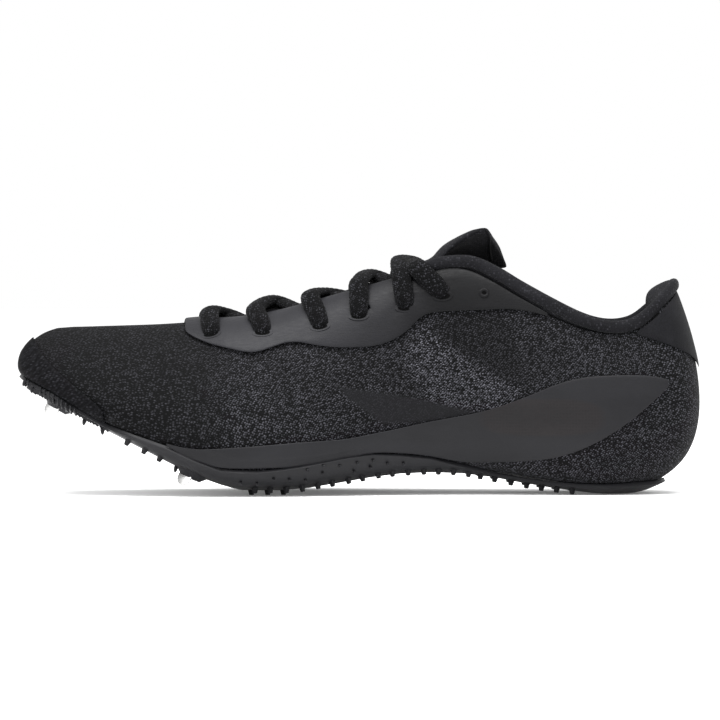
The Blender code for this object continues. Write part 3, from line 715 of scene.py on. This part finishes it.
EDGES = {  # the throat's edge at each hole, in mm, and the direction out of the shoe
    "inner": (
        ((-62.4, -5.8, 72.7), (-0.19, -0.21, 0.96)), ((-44.1, -10.6, 73.5), (-0.13, -0.24, 0.96)),
        ((-20.8, -12.3, 79.1), (-0.29, -0.37, 0.88)), ((-0.2, -13.4, 85.1), (-0.25, -0.46, 0.85)),
        ((17.2, -14.8, 89.8), (-0.29, -0.56, 0.77)), ((30.5, -18.0, 93.9), (-0.35, -0.68, 0.65)),
    ),
    "outer": (
        ((-62.4, 0.4, 72.7), (-0.16, 0.17, 0.97)), ((-44.1, 6.3, 73.5), (-0.13, 0.21, 0.97)),
        ((-20.8, 9.6, 79.1), (-0.31, 0.32, 0.90)), ((-0.2, 12.3, 85.1), (-0.29, 0.44, 0.85)),
        ((17.2, 14.8, 89.8), (-0.31, 0.57, 0.76)), ((30.5, 18.1, 93.9), (-0.34, 0.70, 0.63)),
    ),
}
CROWNS = (  # x and height of each crossing's top, in mm
    (-55.4, 77.5), (-34.6, 82.5), (-12.5, 85.6), (6.0, 93.3), (20.5, 99.2),
)
LACE_WIDE = 8.0 * MM
LACE_TALL = 4.2 * MM
DRIFT = 0.10
LAST_DRIFT = 0.42
LAST_ROW = len(CROWNS) - 1
SLOT_SHIFT = (  # how far a strand enters from its hole, in mm: along the shoe, and up the film
    (0.0, 0.0), (0.8, 0.0), (1.0, -2.6), (-2.4, -2.8), (0.6, -2.8), (3.6, -0.6),
)
CLEAR = 0.8 * MM
DEEP = -2.0 * MM


def spline(points, t):
    """A smooth path through the points, t from 0 to 1."""
    place = min(max(t, 0.0), 1.0) * (len(points) - 1)
    i = min(int(place), len(points) - 2)
    f = place - i
    a, b, c, d = (points[min(max(i + k, 0), len(points) - 1)] for k in (-1, 0, 1, 2))
    return (b * 2 + (c - a) * f + (a * 2 - b * 5 + c * 4 - d) * f**2 + (b * 3 - a - c * 3 + d) * f**3) / 2


def seat(table, side, row, up):
    """A point over a row of holes or edges, and its direction out. row may lie between two rows."""
    low = min(int(row), LAST_ROW)
    share = row - low
    (a, a_out), (b, b_out) = table[side][low], table[side][low + 1]
    out = Vector(a_out).lerp(Vector(b_out), share).normalized()
    return Vector(a).lerp(Vector(b), share) * MM + out * up, out


def down_hill(out):
    """The steepest way down on a surface that faces out."""
    return Vector((0.0, out.z * math.copysign(1, out.y), -abs(out.y)))


def slot_at(side, row, up):
    """A point over the slot of a row: its hole, moved along the film to where the strand enters."""
    along, climb = SLOT_SHIFT[row]
    place, out = seat(HOLES, side, row, 0.0)
    return place + Vector((along * MM, 0.0, 0.0)) - down_hill(out) * climb * MM + out * up, out


def crossing_path(row, side, on_top):
    """Points, directions out and sizes of one strand of a crossing."""
    far_side = "outer" if side == "inner" else "inner"
    last = row == LAST_ROW
    over = CLEAR + LACE_TALL / 2
    crown_x, crown_z = CROWNS[row]
    lift = 0.0 if on_top else -LACE_TALL * 0.35
    aside = (-2.5 if on_top else 2.5) if last else (-1.0 if on_top else 2.0)
    crown = Vector(((crown_x + aside) * MM, 0.0, crown_z * MM - LACE_TALL / 2 + lift))
    hole_in, out = slot_at(side, row, DEEP)
    stops = [
        (hole_in, out, 0.55), (slot_at(side, row, 0.7 * MM)[0], out, 0.8),
        (slot_at(side, row, over)[0].lerp(seat(EDGES, side, row + DRIFT, over)[0], 0.35), out, 1.0),
        (*seat(EDGES, side, row + DRIFT, over + 0.3 * MM), 1.0),
        (crown, Vector((0, 0, 1)), 1.0),
    ]
    if last:
        far_edge, far_out = seat(EDGES, far_side, row + 1 - LAST_DRIFT, over + 0.6 * MM)
        far_in, out = slot_at(far_side, row + 1, DEEP)
        stops += [
            (far_edge, far_out, 1.0),
            (slot_at(far_side, row + 1, over)[0].lerp(far_edge, 0.35), out, 1.1),
            (slot_at(far_side, row + 1, 0.7 * MM)[0], out, 0.8), (far_in, out, 0.55),
        ]
    else:
        far_edge, far_out = seat(EDGES, far_side, row + 1 - 3 * DRIFT, -over)
        tuck = far_edge.copy()
        tuck.y *= 0.55
        tuck.z = (far_edge.z + crown.z) / 2
        stops += [(tuck, Vector((0, 0, 1)), 1.0), (far_edge, far_out, 1.0)]
    return stops


print("crossings:", len(CROWNS))

# %% [markdown]
# ## A ring drawn along a path
# A curve with a bevel would also make a cord, but it gives no say over each point. Here a circle of
# edges is extruded step by step, and its size follows the cord: small in the hole, wide and flat on
# the tongue. Where two sets of sine waves cross, yarns stand out of it. Ribs, seams and the collar's
# roll are drawn with the same function.

# %% Draw the lace along its paths
RING_SIDES = 20
RING_STEP = 0.55 * MM
LEAST_STEPS = 8
LOOK_AHEAD = 0.01
BRAID_LIFT = 0.16 * MM
BRAIDS_ROUND = 8
FLATTEN = 0.8
GIRTH = 17.0 * MM


def strand(bm, stops, phase, across=LACE_WIDE, through=LACE_TALL, braid=BRAID_LIFT):
    """Extrudes a ring of edges along a path, and writes UVs in metres along and round it."""
    points = [stop[0] for stop in stops]
    outs = [stop[1] for stop in stops]
    sizes = [stop[2] for stop in stops]
    length = sum((b - a).length for a, b in zip(points, points[1:]))
    count = max(int(length / RING_STEP), LEAST_STEPS)
    layer = bm.loops.layers.uv.get("UVMap") or bm.loops.layers.uv.new("UVMap")
    ring = bmesh.ops.create_circle(bm, cap_ends=False, segments=RING_SIDES, radius=1.0)["verts"]
    around = {vertex: k / RING_SIDES for k, vertex in enumerate(ring)}
    edges = list({edge for vertex in ring for edge in vertex.link_edges})
    faces = []
    first = ring
    for step in range(count + 1):
        t = step / count
        ahead = (spline(points, t + LOOK_AHEAD) - spline(points, t - LOOK_AHEAD)).normalized()
        out = spline(outs, t)
        aside = ahead.cross(out).normalized()
        out = aside.cross(ahead)
        size = min(max(spline(sizes, t), 0.0), 1.1)
        wide = (0.42 + 0.58 * size) * across / 2
        tall = (0.60 + 0.40 * size) * through / 2
        here = spline(points, t)
        run = t * length
        for vertex in ring:
            share = around[vertex]
            angle = math.tau * share
            ridge = abs(math.sin(math.pi * (run / BRAID_PITCH + share * BRAIDS_ROUND + phase)))
            ridge *= abs(math.sin(math.pi * (run / BRAID_PITCH - share * BRAIDS_ROUND + phase)))
            proud = braid * (ridge - 0.4)
            flat = math.copysign(abs(math.sin(angle)) ** FLATTEN, math.sin(angle))
            sideways = math.cos(angle) * wide + math.cos(angle) * proud
            vertex.co = here + aside * sideways + out * (flat * tall + math.sin(angle) * proud)
        if step == count:
            break
        made = bmesh.ops.extrude_edge_only(bm, edges=edges)["geom"]
        fresh = [item for item in made if isinstance(item, bmesh.types.BMVert)]
        edges = [item for item in made if isinstance(item, bmesh.types.BMEdge)
                 and all(vertex in fresh for vertex in item.verts)]
        lookup = {}
        for vertex in fresh:
            for line in vertex.link_edges:
                other = line.other_vert(vertex)
                if other in around and other in ring:
                    lookup[vertex] = around[other]
        new_faces = [item for item in made if isinstance(item, bmesh.types.BMFace)]
        faces.append((new_faces, set(fresh), run, (step + 1) / count * length))
        around.update(lookup)
        ring = fresh
    for new_faces, fresh, before, after in faces:
        for face in new_faces:
            shares = [around[loop.vert] for loop in face.loops]
            seam = max(shares) - min(shares) > 0.5
            for loop, share in zip(face.loops, shares):
                share = share + 1.0 if seam and share < 0.5 else share
                loop[layer].uv = (after if loop.vert in fresh else before, share * GIRTH)
    for end in (first, ring):
        bmesh.ops.contextual_create(bm, geom=list(end))
    return bm


for row in range(len(CROWNS)):
    bm = bmesh.new()
    strand(bm, crossing_path(row, "outer", False), 0.3)
    strand(bm, crossing_path(row, "inner", True), 0.0)
    bmesh.ops.recalc_face_normals(bm, faces=bm.faces)
    placed(object_of(f"lace_crossing_{row + 1}", bm, cord), "woven_lace", f"lace_{row + 1}")

# %% [markdown]
# ## The rolled edge of the collar
# Round the ankle the lining is turned over a soft cord, so the opening has a fat rolled edge with a
# dark groove under it. The same extruded ring draws it: its path follows the rim from the tongue to
# the heel on both sides, wide and upright, without the lace's ridges.

# %% Rolled edge
ROLL = (  # the roll's middle from the tongue to the heel, in mm: x, distance from the middle, z
    (25.0, 17.6, 92.6), (31.0, 19.0, 95.0), (38.0, 20.0, 96.6), (47.5, 21.3, 96.3), (57.5, 23.0, 91.8),
    (67.5, 24.4, 85.8), (80.5, 25.6, 78.6), (92.0, 25.9, 72.9), (101.0, 24.4, 70.1),
    (109.0, 22.4, 69.8), (116.0, 20.0, 72.0), (122.5, 16.4, 77.2), (128.0, 11.4, 82.8),
    (130.6, 5.8, 85.9),
)
HEEL_POINT = (131.5, 0.0, 86.8)
HEEL_TURN = 95.0
ROLL_RISE = 2.5
ROLL_END = 0.35
ROLL_WIDE = 5.2 * MM
ROLL_THICK = 4.2 * MM

around = [(x, -y, z) for x, y, z in ROLL] + [HEEL_POINT] + list(reversed(ROLL))
sizes = [ROLL_END] + [1.0] * (len(around) - 2) + [ROLL_END]
stops = []
for (x, y, z), size in zip(around, sizes):
    outward = Vector((max(x - HEEL_TURN, 0.0), y, ROLL_RISE)).normalized()
    stops.append((Vector((x, y, z)) * MM, outward, size))
bm = bmesh.new()
strand(bm, stops, 0.0, ROLL_WIDE, ROLL_THICK, 0.0)
bmesh.ops.recalc_face_normals(bm, faces=bm.faces)
placed(object_of("collar_roll", bm, lining), "soft_lining")

# %% [markdown]
# ## Eyelets
# The lace holes are slots punched through the film, with a faint pressed lip, and one small round
# hole at the back is spare. The lace fills its holes, so each is a shallow dish laid on the film: an
# oval, inset three times, whose last face is a floor in painted shade, as dark as the shadow in an
# open hole. Every point then drops to the film's nearest point and keeps its own height above it, so
# that the dish bends as the film does.

# %% Eyelets
DISH_SIDES = 20
FILM_TOP = 0.12 * MM
HOLE_ROWS = 6
SLOT_DROP = 1.7 * MM
SLOT_SIZE = (8.8 * MM, 4.6 * MM, 0.3 * MM, 0.04 * MM)
SPARE_HOLE = (52.0, 83.7)
SPARE_SIZE = (4.4 * MM, 4.2 * MM, 0.75 * MM, 0.30 * MM)


def dish(bm, place, out, wide, tall, lip, proud):
    """A pressed oval on the film: a domed lip round a sunk floor in the second material, a painted shade.
    """
    own = bmesh.new()
    made = bmesh.ops.create_circle(own, cap_ends=True, segments=DISH_SIDES, radius=1.0)["verts"]
    floor_face = next(iter(made[0].link_faces))
    bmesh.ops.scale(own, vec=(wide / 2, tall / 2, 1.0), verts=made)
    for step, lift in ((lip * 0.35, proud), (lip * 0.65, 0.0), (lip * 0.25, -proud * 0.7)):
        bmesh.ops.inset_region(own, faces=[floor_face], thickness=step, use_boundary=True)
        bmesh.ops.translate(own, vec=(0.0, 0.0, lift), verts=floor_face.verts)
    floor_face.material_index = 1
    along = (Vector((1.0, 0.0, 0.0)) - out * out.x).normalized()
    turn = Matrix((along, out.cross(along), out)).transposed()
    for vertex in own.verts:
        height = vertex.co.z
        over = place + turn @ Vector((vertex.co.x, vertex.co.y, 0.0)) + out * 2 * MM
        vertex.co = surfaces["eyestay"].find_nearest(over)[0] + out * (height + FILM_TOP)
    part = bpy.data.meshes.new("dish")
    own.to_mesh(part)
    own.free()
    bm.from_mesh(part)
    bpy.data.meshes.remove(part)


# painted shade: a near-black floor stands in for the shadow inside each hole
painted_hole_shade, tree, shader = finish_of("painted_hole_shade", 0.95, 0.02)
noise = noise_of(tree, place_of(tree), 1500.0)
tree.links.new(blend_colour(tree, noise, grey(0.001), grey(0.003)), shader.inputs["Base Color"])

for side, sign in SIDES.items():
    bm = bmesh.new()
    for row in range(HOLE_ROWS):
        centre, out = slot_at(side, row, 0.0)
        dish(bm, centre + down_hill(out) * SLOT_DROP, out, *SLOT_SIZE)
    dish(bm, *on_surface("eyestay", *SPARE_HOLE, sign), *SPARE_SIZE)
    bmesh.ops.recalc_face_normals(bm, faces=bm.faces)
    rims = object_of(f"eyelets_{side}", wrap(bm), film)
    rims.data.materials.append(painted_hole_shade)
    placed(subdivided(rims, 1), "smooth_film")

# %% [markdown]
# ## Seam down the tongue
# The tongue's cover is sewn together down its near edge, and the seam stands a little proud. A few
# points seen from the side are shot at the tongue, and a thin strand without ridges joins them.

# %% Seam down the tongue
SEAM = ((53.2, 109.6), (54.4, 107.0), (54.8, 104.0), (54.9, 101.5), (55.3, 99.0), (55.8, 96.8))
SEAM_PROUD = 0.15 * MM
SEAM_THICK = 0.9 * MM

bm = bmesh.new()
hits = [on_surface("tongue", x, z, SIDES["inner"]) for x, z in SEAM]
stops = [(place + facing * SEAM_PROUD, facing, 1.0) for place, facing in hits]
strand(bm, stops, 0.0, SEAM_THICK, SEAM_THICK, 0.0)
bmesh.ops.recalc_face_normals(bm, faces=bm.faces)
placed(object_of("tongue_seam", bm, heel_film), "soft_lining")

# %% [markdown]
# ## Ribs round the toe's rim
# The plate's rim is ribbed round the toe, for grip. One rib is a short strand down the rim, and a loop
# sets the next beside it. It starts at the rim's top edge, whose height is read off a short outline.

# %% Ribs round the toe's rim
RIM_TOP = (  # x and height of the rim's top edge, in mm
    (-139.9, 50.4), (-136.6, 48.5), (-133.7, 47.9), (-130.8, 45.8), (-125.8, 43.1), (-120.3, 39.6),
    (-117.4, 37.9), (-113.3, 35.2), (-105.8, 31.2), (-101.0, 29.0),
)
RIB_START = -136.0
RIB_PITCH = 1.75
RIB_COUNT = 18
RIB_DROPS = (1.0, 2.6, 4.2)
RIB_PROUD = 0.25 * MM
RIB_SIZE = (1.0 * MM, 1.2 * MM)

bm = bmesh.new()
ribs = 0
for sign in SIDES.values():
    for number in range(RIB_COUNT):
        x = RIB_START + number * RIB_PITCH
        top = level_at(RIM_TOP, x)
        marks = [on_surface("sole_plate", x, top - drop, sign) for drop in RIB_DROPS]
        if all(place is not None for place, _ in marks):
            stops = [(place + facing * RIB_PROUD, facing, 1.0) for place, facing in marks]
            strand(bm, stops, 0.0, *RIB_SIZE, 0.0)
            ribs += 1
bmesh.ops.recalc_face_normals(bm, faces=bm.faces)
placed(object_of("rim_ribs", bm, plate), "black_plate")
print("ribs:", ribs)

# %% [markdown]
# ## Small studs
# Rows of tiny studs climb the plate's side wall towards the waist, and a few more hang from the rim of
# the forefoot. They are too small for the solid. Each is a blunt cone, set where a ray from the side
# meets the plate: square to the wall, or pointing down and a little outwards from the rim.

# %% Small studs
WALL_STUDS = (  # x and z in mm, the three rows that climb towards the waist
    (-48.3, 6.4), (-41.6, 6.0), (-34.7, 7.8), (-28.3, 7.4), (-21.7, 7.2), (-20.8, 11.4),
    (-14.6, 10.0), (-14.2, 13.1), (-7.5, 12.9), (-1.7, 10.6), (-0.4, 14.1), (5.0, 12.2),
    (6.2, 15.0), (12.1, 13.6), (18.7, 13.6),
)
RIM_STUDS = (  # x and z of the root in mm, along the edge of the forefoot
    (-140.1, 50.0), (-137.4, 47.6), (-134.5, 45.1), (-112.9, 31.6), (-105.4, 28.0), (-75.0, 12.2),
)
WALL_STUD = (1.0 * MM, 0.35 * MM, 2.0 * MM)
RIM_STUD = (1.5 * MM, 0.6 * MM, 4.2 * MM)
WALL_LIFT = 0.7 * MM
RIM_LIFT = 1.0 * MM
RIM_LEAN = Vector((-0.15, 0.0, -1.0))
RIM_OUTWARD = 0.35
STUD_SIDES = 8


def stud(bm, place, out, lift, root, tip, height):
    """A blunt cone that points out, with its middle lifted off the surface."""
    turn = out.to_track_quat("Z", "Y").to_matrix().to_4x4()
    bmesh.ops.create_cone(bm, cap_ends=True, segments=STUD_SIDES, radius1=root, radius2=tip,
                          depth=height, matrix=Matrix.Translation(place + out * lift) @ turn)


bm = bmesh.new()
for sign in SIDES.values():
    for x, z in WALL_STUDS:
        stud(bm, *on_surface("sole_plate", x, z, sign), WALL_LIFT, *WALL_STUD)
for sign in SIDES.values():
    for x, z in RIM_STUDS:
        place, facing = on_surface("sole_plate", x, z, sign)
        if place is not None:
            stud(bm, place, (facing * RIM_OUTWARD + RIM_LEAN).normalized(), RIM_LIFT, *RIM_STUD)
placed(subdivided(object_of("wall_studs", wrap(bm), plate), 1), "black_plate")

# %% [markdown]
# ## Floor
# A product picture of a black shoe is taken on white. The floor is pale and glows a little, so that
# the shoe's shadow on it stays soft and light.

# %% Floor
FLOOR_REACH = 4.0
FLOOR_GLOW = 0.12

bm = bmesh.new()
bmesh.ops.create_grid(bm, x_segments=1, y_segments=1, size=FLOOR_REACH)
floor_finish, tree, shader = finish_of("pale_floor", 0.9, 0.1)
noise = noise_of(tree, place_of(tree), 3.0)
tree.links.new(blend_colour(tree, noise, grey(0.93), grey(0.95)), shader.inputs["Base Color"])
shader.inputs["Emission Color"].default_value = grey(1.0)
shader.inputs["Emission Strength"].default_value = FLOOR_GLOW
floor = object_of("floor", bm, floor_finish)
print("floor reaches, in m:", FLOOR_REACH)

# %% [markdown]
# ## Light
# A black shoe keeps its form only if long soft lights draw highlights along its edges. One large
# panel hangs above, a weaker one stands in front and one shines from beyond the toe. The white
# world fills in the rest, and the Standard view shows its white as white.

# %% Light
world = bpy.data.worlds.new("studio")
bpy.context.scene.world = world
world.use_nodes = True
world.node_tree.nodes["Background"].inputs["Color"].default_value = (1.0, 1.0, 1.0, 1.0)
world.node_tree.nodes["Background"].inputs["Strength"].default_value = 1.0
bpy.context.scene.view_settings.view_transform = "Standard"


def panel(name, place, target, size, power):
    light = bpy.data.lights.new(name, "AREA")
    light.shape = "RECTANGLE"
    light.size, light.size_y = size
    light.energy = power
    made = bpy.data.objects.new(name, light)
    bpy.context.scene.collection.objects.link(made)
    made.matrix_world = Matrix.Translation(place) @ (
        (Vector(target) - Vector(place)).to_track_quat("-Z", "Y").to_matrix().to_4x4()
    )
    return made


panel("top_panel", (0.0, -0.25, 0.95), (0.0, 0.0, 0.05), (1.1, 0.6), 24.0)
panel("front_panel", (0.15, -1.3, 0.75), (0.0, 0.0, 0.05), (1.0, 0.5), 3.5)
panel("toe_panel", (-1.0, -0.5, 0.45), (-0.08, 0.0, 0.04), (0.5, 0.5), 4.0)
print("lights:", len(bpy.data.lights))

# %% [markdown]
# ## Camera
# The photograph was taken from nearly level with the shoe and from far away, so little is
# foreshortened and lengths can be read off it. The camera stands as far off, tilted down slightly,
# and aims at the point of the shoe that lies in the middle of the photograph.

# %% Camera
PIXEL = 0.4164 * MM
PHOTO_WIDTH = 720
MIDDLE = PHOTO_WIDTH / 2
TOE_PIXEL = 17
FLOOR_PIXEL = 493
TOE_X = -142.0 * MM
FAR = 3.0
TILT = math.radians(1.5)
SENSOR = 36.0
CLIP_END = 20.0

AIM = Vector(((MIDDLE - TOE_PIXEL) * PIXEL + TOE_X, 0.0, (FLOOR_PIXEL - MIDDLE) * PIXEL))
camera_data = bpy.data.cameras.new("camera")
camera_data.sensor_width = SENSOR
camera_data.lens = SENSOR * FAR / (PHOTO_WIDTH * PIXEL)
camera_data.clip_end = CLIP_END
camera = bpy.data.objects.new("camera", camera_data)
bpy.context.scene.collection.objects.link(camera)
camera.location = AIM + Vector((0.0, -math.cos(TILT), math.sin(TILT))) * FAR
camera.rotation_euler = (math.pi / 2 - TILT, 0.0, 0.0)
bpy.context.scene.camera = camera
print("lens in mm:", round(camera_data.lens, 1))
